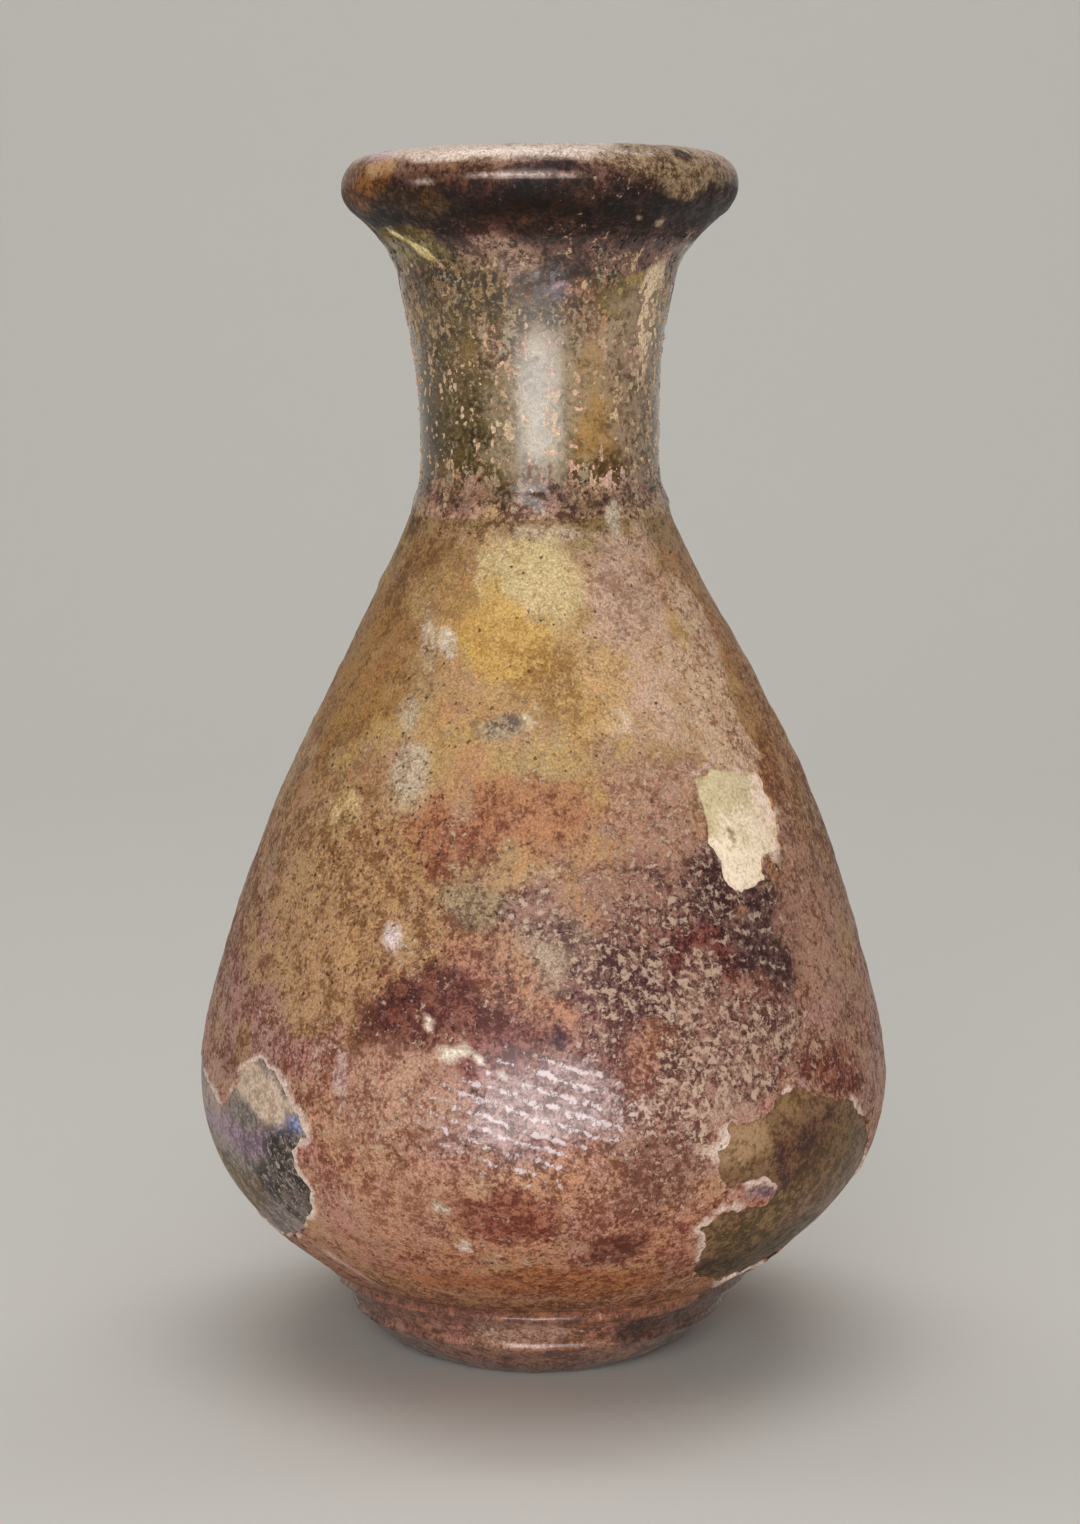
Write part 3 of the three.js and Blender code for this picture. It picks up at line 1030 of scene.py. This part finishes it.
@dataclass
class Weathering:
    """What the ground and time did to the surface: its stains, its flaked patches and its relief. In millimetres.
    Some of its colours are painted light and shade.

    Attributes:
        bands: The crust's colours by height, with painted shade under the lip and painted light on its top.
        speck_bands: The colours by height of the crust that is left on the neck, with painted shade under the lip.
        stains: The areas of other colours on the crust, each over the one before; a few are painted highlights,
            glints or shade.
        bared_stains: The same where the crust has flaked off.
        patches: Where the crust has flaked off.
        ragged: The unevenness of edges.
        lumps: The unevenness of the crust's thickness and tones.
        drawn: The streaks that run along the neck.
        flecks: The specks on the neck.
        polished: The polished patch low on the front, whose lilac-white grains are partly a painted sheen.
        brushed: Where faint slanting lines of the blowing show, on the body's left and right.
        neck: Where the neck's clear glass starts and ends.
        shore: How far outside a patch's line the wall is bare, under the plate of its broken edge.
        calm: How much nearer the shade is to the ground on the shoulder.
        chips: How thickly pale grains lie on the crust, from 0 to 1.
        neck_chips: How much more thickly they lie on the neck's wall, and on its specks.
        speck_stains: The heights between which stains reach the specks on the neck.
        foot_ridges: How far the foot's ridges stand out, as heights and distances.
        lip_ridge: The height of the ridge round the lip, half its width and how far it stands out.
        crust: How thick the crust is.
        skin_lumps: Its unevenness: how wide, over how many octaves, and how high.
        striae: How high the slanting lines of the blowing stand, how far apart, and how they climb in a radian.
    """

    bands: tuple[Band, ...] = BANDS
    speck_bands: tuple[Band, ...] = SPECK_BANDS
    stains: tuple[Stain, ...] = STAINS
    bared_stains: tuple[Stain, ...] = BARED_STAINS
    patches: tuple[Patch, ...] = PATCHES
    ragged: Grain = Grain(11)
    lumps: Grain = Grain(23)
    drawn: Grain = Grain(31, (1, 1, 5))
    flecks: Grain = Grain(47, (1, 1, 1.4))
    polished: Oval = Oval(-3, 32.4, 17, 6.8, 1.25)
    brushed: tuple[Oval, ...] = (Oval(-52, 52, 20, 12), Oval(40, 47, 14, 6))
    neck: Spot = (88.6, 116.0)
    shore: float = 0.9
    calm: float = 0.38
    chips: float = 0.46
    neck_chips: Spot = (0.14, -0.04)
    speck_stains: tuple[Spot, ...] = ((86, 90), (108.9, 130))
    foot_ridges: tuple[Spot, ...] = (
        (3.3, 0), (4.5, 0.42), (5.1, -0.2), (5.8, -0.1), (6.9, -0.05), (8.0, 0.4), (8.6, -0.18), (9.1, -0.16),
        (9.35, -0.26), (9.8, 0),
    )
    lip_ridge: tuple[float, float, float] = (121.5, 0.4, 0.08)
    crust: float = 0.15
    skin_lumps: tuple[tuple[float, int, float], ...] = ((6.0, 3, 0.07), (1.6, 2, 0.045))
    striae: tuple[float, float, float] = (0.05, 1.4, 10.8)

    def outside_patches(self, places: Points) -> Values:
        """How far places lie outside the nearest flaked patch, in millimetres, less than 0 within one."""
        return self._patches_at(places)[0]

    def _patches_at(self, places: Points) -> tuple[Values, np.ndarray]:
        """How far places lie outside the nearest flaked patch, in millimetres, and which patch that is.

        Args:
            places: The places, in millimetres.

        Returns:
            The distance, less than 0 within the patch, and the patch's number.
        """
        angle, grain = angle_of(places), self.ragged.at(places, 2.6, 5)
        away = np.array([patch.outside_by(angle, places[:, 2], grain) for patch in self.patches])
        return away.min(axis=0), away.argmin(axis=0)

    def on_neck(self, places: Points) -> Values:
        """1 on the neck's clear glass, falling to 0 within half a millimetre of its ends."""
        z, (low, high) = places[:, 2], self.neck
        return ease(low - 0.5, low + 0.5, z) * ease(high + 0.5, high - 0.5, z)

    def on_lip(self, places: Points) -> Values:
        """1 on the lip, falling to 0 on the funnel below it."""
        return ease(114, 119, places[:, 2])

    def on_foot(self, places: Points) -> Values:
        """1 on the foot, falling to 0 above its bead."""
        return ease(10.5, 9, places[:, 2])

    def skin(self, places: Points) -> Values:
        """How thick the crust is where it is whole, in millimetres, with low bumps high on the sides and back.

        Args:
            places: The places, in millimetres.

        Returns:
            Its thickness at each place.
        """
        angle, z = angle_of(places), places[:, 2]
        skin = self.crust + sum(high * self.lumps.at(places, wide, steps) for wide, steps, high in self.skin_lumps)
        high, pitch, climb = self.striae
        lie = z + climb * np.radians(angle) + 0.5 * self.lumps.at(places, 7.0)
        striae = high * self.polished.share(places) * np.sin(lie * 2 * math.pi / pitch)
        bumps = 0.16 * ease(0.35, 0.9, self.lumps.at(places, 3.0)) * ease(55, 85, np.abs(angle)) * ease(55, 62, z)
        return (skin + striae + bumps) * (1 - 0.6 * self.on_lip(places))

    def relief(self, places: Points) -> Values:
        """How far the wall's crust stands above the blown glass, in millimetres, 0 where the glass is bare."""
        whole = ease(0.2, 1.6, self.outside_patches(places)) * (1 - self.on_neck(places))
        return whole * self.skin(places)

    def beads(self, places: Points) -> Values:
        """How far outwards the ridges that tooling left on the foot and the lip stand, in millimetres.

        Args:
            places: The places, in millimetres.

        Returns:
            The distance at each place, less than 0 in the hollows between.
        """
        z = places[:, 2] + 0.1 * self.lumps.at(places, 9.0, 2)
        height, half, high = self.lip_ridge
        on_front = ease(60, 25, np.abs(angle_of(places) + 5))
        foot = np.interp(z, *zip(*self.foot_ridges))
        return foot + high * np.exp(-(((z - height) / half) ** 2)) * on_front

    def paint(self, piece: bpy.types.Object, places: Points, part: Part) -> None:
        """Lays the surface's colours on a piece, as layers that its materials read.

        Args:
            piece: The piece.
            places: Where its vertices lie on the turned form, in millimetres.
            part: Which part of the surface the piece is.
        """
        grain = self.ragged.at(places, 5.0, 4)
        layers = self._base(places, part, grain)
        for stain in self.stains:
            if part is not Part.SPECKS or any(low < stain.height < high for low, high in self.speck_stains):
                self._stain(layers, stain, stain.share(places, grain))
        away, near = self._patches_at(places)
        bare, edge = np.zeros(len(places)), np.zeros(len(places))
        if part is Part.WALL:
            bare = ease(self.shore + 0.05, self.shore - 0.05, away)
            for number, patch in enumerate(self.patches):
                self._stain(layers, patch.stain(), bare * (near == number))
            for stain in self.bared_stains:
                self._stain(layers, stain, bare * stain.share(places, grain))
        if part is Part.EDGE:
            broken = self.lumps.at(places, 3.6, 3)
            rim = ease(0, 0.6, broken + np.array([patch.rim for patch in self.patches])[near])
            edge = rim * ease(0.6 + 0.4 * broken, 0.2, away)
            self._stain(layers, RIM, edge)
        ground, shade, cover, chips = layers
        painted = {
            "ground": ground, "shade": shade, "cover": np.clip(cover + 0.12 * self.lumps.at(places, 9.0, 2), 0, 1),
            "pale": np.clip(chips, 0, 1), "fresh": self._fresh(ground, places, part, bare, edge),
            **self._wear(places, bare),
        }
        for name, values in painted.items():
            self._write(piece, name, values)

    def _base(self, places: Points, part: Part, grain: Values) -> list[np.ndarray]:
        """The ground, the shade, its cover and the chips before any stain.

        Args:
            places: The places, in millimetres.
            part: Which part of the surface they are on.
            grain: Variation that makes the bands' edges uneven.

        Returns:
            The four layers.
        """
        z = places[:, 2]
        bands = self.speck_bands if part is Part.SPECKS else self.bands
        ground, shade, cover = self._bands_at(bands, z + grain * ease(0, 20, z) * ease(125, 118, z))
        warm, rosy = self.lumps.at(places, 7.0, 3), self.ragged.at(places, 4.0, 3)
        ground *= np.column_stack([1 + 0.05 * warm, 1 - 0.06 * rosy, 1 - 0.08 * warm + 0.06 * rosy])
        on_shoulder = ease(56, 68, z) * ease(88, 84, z)
        shade += (ground - shade) * self.calm * on_shoulder[:, None]
        drips = self.neck_chips[part is not Part.WALL] + 0.22 * self.drawn.at(places, 1.4, 2)
        chips = self.chips + 0.1 * self.ragged.at(places, 6.0, 3) + self.on_neck(places) * drips
        return [ground, shade, cover, chips - 0.2 * self.on_lip(places) - 0.14 * self.on_foot(places)]

    def _fresh(self, ground: np.ndarray, places: Points, part: Part, bare: Values, edge: Values) -> np.ndarray:
        """The colour of the pale grains: part of the ground's own, then of what they are on.

        Args:
            ground: The ground's colour at each place.
            places: The places, in millimetres.
            part: Which part of the surface they are on.
            bare: How much of each place is bare glass.
            edge: How much of each place is broken edge.

        Returns:
            The colour at each place.
        """
        tone = 0.45 * ground + 0.55 * mixable("#D6BCA2")
        for share, colour in (
            # Lilac-white grains over the polished zone: partly its iridescent flakes, partly a painted sheen.
            (0.8 * self.polished.share(places), "#E6D2D6"),
            (self.on_neck(places), "#E0C6A4" if part is Part.WALL else "#D2AE8C"),
            (0.9 * bare, "#A89E94"), (0.6 * self.on_lip(places), "#B8988A"), (edge, "#EBD4C6"),
        ):
            tone += (mixable(colour) - tone) * share[:, None]
        return tone

    def _wear(self, places: Points, bare: Values) -> dict[str, Values]:
        """How pitted, glossy, smooth and lined the surface is at each place.

        Args:
            places: The places, in millimetres.
            bare: How much of each place is bare glass.

        Returns:
            Each layer's values by its name.
        """
        angle, z = angle_of(places), places[:, 2]
        neck, lip, zone = self.on_neck(places), self.on_lip(places), self.polished.share(places)
        faint = 0.45 * np.maximum.reduce([oval.share(places) for oval in self.brushed])
        whole = (1 - bare) * (1 - neck)
        tan_side = ease(-8, -25, angle) * ease(40, 50, z) * ease(72, 60, z)
        gloss = (0.06 * whole, 0.9 * neck, 0.08 * lip, 0.5 * ease(121.0, 121.8, z), 0.7 * zone, 0.12 * bare,
                 ease(10, 9, z))
        return {
            "coarse": (0.14 + 0.6 * tan_side) * whole * (1 - 0.5 * lip),
            "gloss": np.maximum.reduce(gloss),
            "polish": np.maximum(self.on_foot(places), 0.8 * lip),
            "striae": np.maximum(zone, faint) * whole,
        }

    def _stain(self, layers: list[np.ndarray], stain: Stain, share: Values) -> None:
        """Moves the layers of ground, shade, cover and chips towards a stain's, by its share at each place.

        Args:
            layers: The four layers, which change.
            stain: The stain.
            share: How much of it there is at each place.
        """
        for layer, colour in zip(layers[:2], (stain.ground, stain.shade)):
            layer += (mixable(colour) - layer) * share[:, None]
        for layer, value in zip(layers[2:], (stain.cover, stain.chips)):
            layer += (value - layer) * share

    def _bands_at(self, bands: tuple[Band, ...], height: Values) -> list[np.ndarray]:
        """The bands' ground, shade and cover, blended to each height.

        Args:
            bands: The bands, from the lowest up.
            height: The heights, in millimetres.

        Returns:
            The three layers.
        """
        stations = [band.height for band in bands]
        rows = np.array([(*mixable(band.ground), *mixable(band.shade), band.cover) for band in bands])
        blended = np.column_stack([np.interp(height, stations, row) for row in rows.T])
        return [blended[:, :3].copy(), blended[:, 3:6].copy(), blended[:, 6].copy()]

    def _write(self, piece: bpy.types.Object, name: str, values: np.ndarray) -> None:
        """Writes values, or colours, as a named attribute of a piece's vertices.

        Args:
            piece: The piece.
            name: The attribute's name.
            values: A value or a colour for each vertex.
        """
        if values.ndim == 1:
            attribute = piece.data.attributes.new(name, "FLOAT", "POINT")
            attribute.data.foreach_set("value", values.astype(np.float32))
            return
        attribute = piece.data.attributes.new(name, "FLOAT_COLOR", "POINT")
        full = np.column_stack([values, np.ones(len(values))])
        attribute.data.foreach_set("color", full.astype(np.float32).ravel())


# The bottle


@dataclass
class GlassWall:
    """The blown wall, closed from its underside over the lip to its floor, with its crust's relief."""

    form: Form
    weathering: Weathering
    columns: int = 288

    def build(self) -> bpy.types.Object:
        """Turns the section round the axis, works it by hand, raises the crust and dresses it.

        Returns:
            The wall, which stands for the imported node.
        """
        piece = self._turn()
        places = read_places(piece)
        height, radius = places[:, 2], np.hypot(places[:, 0], places[:, 1])
        outer = self._is_outside(height, radius)
        facing = read_normals(piece)
        raised = self.weathering.relief(places) * outer * ease(0.0, 0.5, height)
        outwards = places * (1, 1, 0) / np.maximum(radius, 1)[:, None]
        tooled = places + outwards * (self.weathering.beads(places) * outer)[:, None]
        placed = self.form.work_by_hand(tooled) + facing * raised[:, None]
        self.weathering.paint(piece, places, Part.WALL)
        self._dress(piece, places, outer)
        write_places(piece, placed)
        choose(piece)
        bpy.ops.object.shade_smooth()
        return piece

    def _turn(self) -> bpy.types.Object:
        """Spins the section into a closed wall.

        Returns:
            The wall as it was turned, before hand work moved it.
        """
        stretches = self.form.underside() + self.form.outside() + self.form.inside()
        section = np.vstack([*(stretch.points() for stretch in stretches), stretches[-1].end])
        places = np.insert(section, 1, 0, axis=1)
        piece = new_piece("bottle_wall", places, [(i, i + 1) for i in range(len(places) - 1)], [])
        bpy.ops.object.mode_set(mode="EDIT")
        bpy.ops.mesh.select_all(action="SELECT")
        bpy.ops.mesh.spin(steps=self.columns, angle=2 * math.pi, center=(0, 0, 0), axis=(0, 0, 1))
        bpy.ops.mesh.select_all(action="SELECT")
        bpy.ops.mesh.remove_doubles(threshold=1e-6)
        bpy.ops.mesh.normals_make_consistent(inside=False)
        bpy.ops.object.mode_set(mode="OBJECT")
        return piece

    def _is_outside(self, height: Values, radius: Values) -> np.ndarray:
        """Which places are on the wall's outside, or on the lip down to its mouth.

        Args:
            height: The height of each place, in millimetres.
            radius: Its distance from the axis, in millimetres.

        Returns:
            True for each place that is.
        """
        outline = self.form.outline()
        at_height = np.interp(height, outline[:, 1], outline[:, 0])
        lip = self.form.outside()[-1].end
        return (radius > at_height - 0.3) | ((height > lip[1]) & (radius > lip[0] - 0.3))

    def _dress(self, piece: bpy.types.Object, places: Points, outer: np.ndarray) -> None:
        """Gives the wall its materials, and each face the one for what it is.

        Args:
            piece: The wall.
            places: Where its vertices lie on the turned form, in millimetres.
            outer: Which of them are on the outside.
        """
        for finish in (CRUST, GLASS, BARED, INSIDE):
            piece.data.materials.append(finish.material())
        bared = self.weathering.outside_patches(places) < self.weathering.shore
        neck = self.weathering.on_neck(places) > 0.5
        corner = np.empty(len(piece.data.polygons), dtype=np.int32)
        piece.data.polygons.foreach_get("loop_start", corner)
        loops = np.empty(len(piece.data.loops), dtype=np.int32)
        piece.data.loops.foreach_get("vertex_index", loops)
        vertex = loops[corner]
        kind = np.where(outer[vertex], Surface.CRUST.value, Surface.INSIDE.value)
        kind = np.where(outer[vertex] & neck[vertex], Surface.GLASS.value, kind)
        kind = np.where(outer[vertex] & bared[vertex], Surface.BARED.value, kind)
        piece.data.polygons.foreach_set("material_index", kind.astype(np.int32))


@dataclass(frozen=True)
class Window:
    """A part of the outside: its range of angles from the front in degrees, and of heights in millimetres."""

    left: float
    right: float
    low: float
    high: float


@dataclass
class Plate(ABC):
    """A thin plate of crust that is finer than the wall's own relief, cut along a ragged edge.

    Attributes:
        name: What it is called.
        window: The part of the outside that it is cut from.
        form: The bottle's form.
        weathering: The bottle's weathering.
        grid: How far apart its vertices are, in millimetres.
        under: How thick it is, in millimetres, most of which lies within the glass.
        PART: Which part of the surface it is.
    """

    name: str
    window: Window
    form: Form
    weathering: Weathering
    grid: float = 0.24
    under: float = 0.32

    PART: ClassVar = Part.EDGE

    @abstractmethod
    def _left(self, places: Points) -> Values:
        """More than 0 where crust is left."""

    @abstractmethod
    def _height(self, places: Points) -> Values:
        """How far the plate's top stands above the glass, in millimetres."""

    def build(self) -> bpy.types.Object:
        """Lays a fine grid on the wall, cuts it to the crust that is left, raises it and gives it its thickness.

        Returns:
            The plate.
        """
        places, corners = self._grid()
        places, corners = cut(places, corners, self._left(places))
        piece = new_piece(self.name, places, [], corners.tolist())
        facing = read_normals(piece)
        self.weathering.paint(piece, places, self.PART)
        raised = self._height(places)
        write_places(piece, self.form.work_by_hand(places) + facing * raised[:, None])
        piece.data.materials.append(CRUST.material())
        bpy.ops.object.modifier_add(type="SOLIDIFY")
        thick = piece.modifiers[-1]
        thick.thickness = self.under * MM
        thick.offset = -1
        bpy.ops.object.modifier_apply(modifier=thick.name)
        bpy.ops.object.shade_smooth_by_angle(angle=math.radians(50))
        return piece

    def _grid(self) -> tuple[Points, np.ndarray]:
        """The window's places on the turned outside, and the triangles between them.

        Returns:
            The places, in millimetres, and their numbers at each triangle's corners.
        """
        outline = self.form.outline()
        rows = outline[(outline[:, 1] > self.window.low) & (outline[:, 1] < self.window.high)]
        run = run_along(rows)
        marks = np.linspace(0, run[-1], round(run[-1] / self.grid) + 1)
        radius, height = (np.interp(marks, run, rows[:, axis]) for axis in (0, 1))
        wide = math.radians(self.window.right - self.window.left)
        columns = round(wide * radius.max() / self.grid)
        angles = math.radians(self.window.left) + wide * np.arange(columns + 1) / columns
        places = np.stack([
            radius[:, None] * np.sin(angles), -radius[:, None] * np.cos(angles), height[:, None] + 0 * angles,
        ], axis=-1).reshape(-1, 3)
        row, column = np.meshgrid(np.arange(len(marks) - 1), np.arange(columns), indexing="ij")
        first = (row * len(angles) + column).ravel()
        beside, above, across = first + 1, first + len(angles), first + len(angles) + 1
        corners = np.vstack([np.column_stack([first, beside, across]), np.column_stack([first, across, above])])
        return places, corners


@dataclass
class PatchEdge(Plate):
    """The crust's broken edge round a flaked patch. Further out it dips under the wall's own crust.

    Attributes:
        reach: How far out it goes, in millimetres.
        curl: How much its edge curls up, in millimetres.
        dip: How far it dips, in millimetres.
    """

    reach: float = 3.4
    curl: float = 0.05
    dip: float = 0.16

    def _left(self, places: Points) -> Values:
        """More than 0 where crust is left."""
        away = self.weathering.outside_patches(places)
        return np.minimum(away, self.reach - away)

    def _height(self, places: Points) -> Values:
        """How far the plate's top stands above the glass, in millimetres."""
        away = self.weathering.outside_patches(places)
        return self.weathering.skin(places) + self.curl * ease(1.2, 0.0, away) - self.dip * ease(1.6, 2.8, away)


@dataclass
class NeckSpecks(Plate):
    """The specks and streaks of crust on the neck's glass, whole at its base and under the lip.

    Attributes:
        speck: How wide the specks are, in millimetres.
        streak: How wide the streaks are, in millimetres.
        bar: What the variation has to pass for crust to be left: the higher, the less is left.
        streaked: How much the streaks lower the bar.
        worn: How much a worn strip down the neck's right, below the lip, lowers it.
        worn_angle: That strip's angle from the front, in degrees.
        thin: How far the specks stand above the glass, in millimetres.
        dip: How far the plate's ends dip into the wall, in millimetres.
    """

    speck: float = 0.52
    streak: float = 1.4
    bar: float = 0.98
    streaked: float = 0.34
    worn: float = 0.55
    worn_angle: float = 56.0
    thin: float = 0.07
    dip: float = 0.25

    PART: ClassVar = Part.SPECKS

    def _left(self, places: Points) -> Values:
        """More than 0 where crust is left.

        Args:
            places: The places, in millimetres.

        Returns:
            How far the variation at each place passes the bar.
        """
        z = places[:, 2]
        streaks = self.weathering.drawn.at(places, self.streak, 2)
        speck = self.weathering.flecks.at(places, self.speck, 3)
        base = ease(93.5, 89.2, z + 0.5 * streaks)
        top = ease(108.0, 115.5, z + 1.6 * self.weathering.lumps.at(places, 2.4, 3))
        worn = self.worn * ease(11, 4, np.abs(angle_of(places) - self.worn_angle)) * ease(97, 103, z)
        return speck - (self.bar - self.streaked * streaks * (1 - top) - 2.6 * base - 2.2 * top - worn)

    def _height(self, places: Points) -> Values:
        """How far the plate's top stands above the glass, in millimetres.

        Args:
            places: The places, in millimetres.

        Returns:
            The height of each place.
        """
        z = places[:, 2]
        whole = np.maximum(ease(92, 89, z), ease(112, 116, z))
        ends = ease(88.2, 86.6, z) + ease(116.8, 117.8, z)
        return self.thin + (self.weathering.skin(places) - 0.05) * whole - self.dip * ends


@dataclass(frozen=True)
class SoftLight:
    """A soft rectangular light.

    Attributes:
        name: What it is called.
        place: Where it is, in metres.
        aim: The point it faces, in metres.
        size: Its width and height, in metres.
        power: Its power, in watts.
        spread: Over how many degrees it shines.
    """

    name: str
    place: tuple[float, float, float]
    aim: tuple[float, float, float]
    size: tuple[float, float]
    power: float
    spread: float = 180

    def build(self) -> None:
        """Hangs the light, out of the camera's sight."""
        data = bpy.data.lights.new(self.name, "AREA")
        data.shape = "RECTANGLE"
        data.size, data.size_y = self.size
        data.energy = self.power
        data.spread = math.radians(self.spread)
        lamp = bpy.data.objects.new(self.name, data)
        lamp.location = self.place
        lamp.visible_camera = False
        away = np.array(self.place) - np.array(self.aim)
        tilt, turn = math.atan2(math.hypot(away[0], away[1]), away[2]), math.atan2(away[0], -away[1])
        lamp.rotation_euler = (tilt, 0, turn)
        bpy.context.scene.collection.objects.link(lamp)


@dataclass
class Studio:
    """The pale floor, the soft lights and the camera, in metres unless said.

    Attributes:
        lens: The camera's focal length, in millimetres.
        sensor: The height of its picture, in millimetres.
        eye: Where it is.
        down: How far it looks down.
        half: Half the paper's width before it is turned up.
        middle: How far the flat part's middle lies behind the bottle, less than 0 where it is in front.
        flat: The flat part's radius.
        bend: The radius at which the paper turns up.
        cuts: How many cuts divide the paper each way.
        daylight: How strong the light from all round is.
        LIGHTS: The soft lights.
    """

    lens: float = 71.1
    sensor: float = 36.0
    eye: tuple[float, float, float] = (-0.0003, -0.3153, 0.1014)
    down: float = math.radians(7.15)
    half: float = 2.2
    middle: float = -0.65
    flat: float = 1.1
    bend: float = 0.6
    cuts: int = 100
    daylight: float = 0.09

    LIGHTS: ClassVar = (
        SoftLight("key", (-0.1, -0.75, 0.34), (0, 0, 0.06), (0.4, 0.3), 1.86),
        SoftLight("top", (0.0, -0.12, 0.95), (0, 0, 0.05), (0.9, 0.9), 4.0),
        SoftLight("front", (0.0, -0.34, 0.052), (0, 0, 0.052), (0.27, 0.09), 0.105, 80),
        SoftLight("backdrop", (0.0, 0.3, 1.1), (0, 0.95, 0.25), (1.2, 0.4), 4.2),
    )

    def build(self) -> None:
        """Makes the floor, the lights, the light from all round and the camera."""
        self._floor()
        for light in self.LIGHTS:
            light.build()
        world = bpy.data.worlds.new("studio")
        world.use_nodes = True
        sky = world.node_tree.nodes["Background"].inputs
        sky["Color"].default_value = linear("#F2F0EC")
        sky["Strength"].default_value = self.daylight
        bpy.context.scene.world = world
        bpy.context.scene.view_settings.view_transform = "Standard"
        self._camera()

    def _floor(self) -> None:
        """A pale floor that turns up into a backdrop all round, nearest behind the bottle."""
        clear_selection()
        bpy.ops.mesh.primitive_plane_add(size=2 * self.half, location=(0, 0, 0))
        floor = bpy.context.active_object
        floor.name = "floor"
        bpy.ops.object.mode_set(mode="EDIT")
        bpy.ops.mesh.select_all(action="SELECT")
        bpy.ops.mesh.subdivide(number_cuts=self.cuts)
        bpy.ops.object.mode_set(mode="OBJECT")
        places = read_places(floor) * MM
        out = np.hypot(places[:, 0], places[:, 1])
        past = np.clip(out - self.flat, 0, None)
        turn = np.clip(past / self.bend, 0, math.pi / 2)
        reach = np.where(past > 0, self.flat + self.bend * np.sin(turn), out)
        places[:, :2] *= (reach / np.maximum(out, 1e-9))[:, None]
        places[:, 1] += self.middle
        places[:, 2] = self.bend * (1 - np.cos(turn)) + np.clip(past - self.bend * math.pi / 2, 0, None)
        write_places(floor, places / MM)
        bpy.ops.object.shade_smooth()
        paper = bpy.data.materials.new("matt paper, rolled")
        paper.use_nodes = True
        shader = paper.node_tree.nodes["Principled BSDF"].inputs
        shader["Base Color"].default_value = linear("#D6D3CD")
        shader["Roughness"].default_value = 0.8
        floor.data.materials.append(paper)

    def _camera(self) -> None:
        """Puts the camera where the photograph was taken from."""
        data = bpy.data.cameras.new("camera")
        data.sensor_fit = "VERTICAL"
        data.sensor_height = self.sensor
        data.lens = self.lens
        data.clip_start = 0.01
        camera = bpy.data.objects.new("camera", data)
        camera.location = self.eye
        camera.rotation_euler = (math.pi / 2 - self.down, 0, 0)
        bpy.context.scene.collection.objects.link(camera)
        bpy.context.scene.camera = camera


def main() -> None:
    """Builds the bottle and its studio."""
    logging.basicConfig(level=logging.INFO, format="%(name)s %(message)s")
    form = Form()
    weathering = Weathering()
    wall = GlassWall(form, weathering).build()
    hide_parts(NODE)
    plates = (
        PatchEdge("crust_edge_left", Window(-104, -30, 9.5, 39), form, weathering),
        PatchEdge("crust_edge_right", Window(20, 86, 9.5, 39), form, weathering),
        PatchEdge("crust_edge_high", Window(24, 64, 47, 68), form, weathering),
        NeckSpecks("neck_specks", Window(-90, 90, 85.5, 118.5), form, weathering, 0.185, 0.2),
        NeckSpecks("neck_specks_back", Window(90, 270, 85.5, 118.5), form, weathering, 0.26, 0.2),
    )
    for piece in (wall, *(plate.build() for plate in plates)):
        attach(piece, BODY)
        log.info("%s: %d vertices, %d faces", piece.name, len(piece.data.vertices), len(piece.data.polygons))
    Studio().build()


if __name__ == "__main__":
    main()
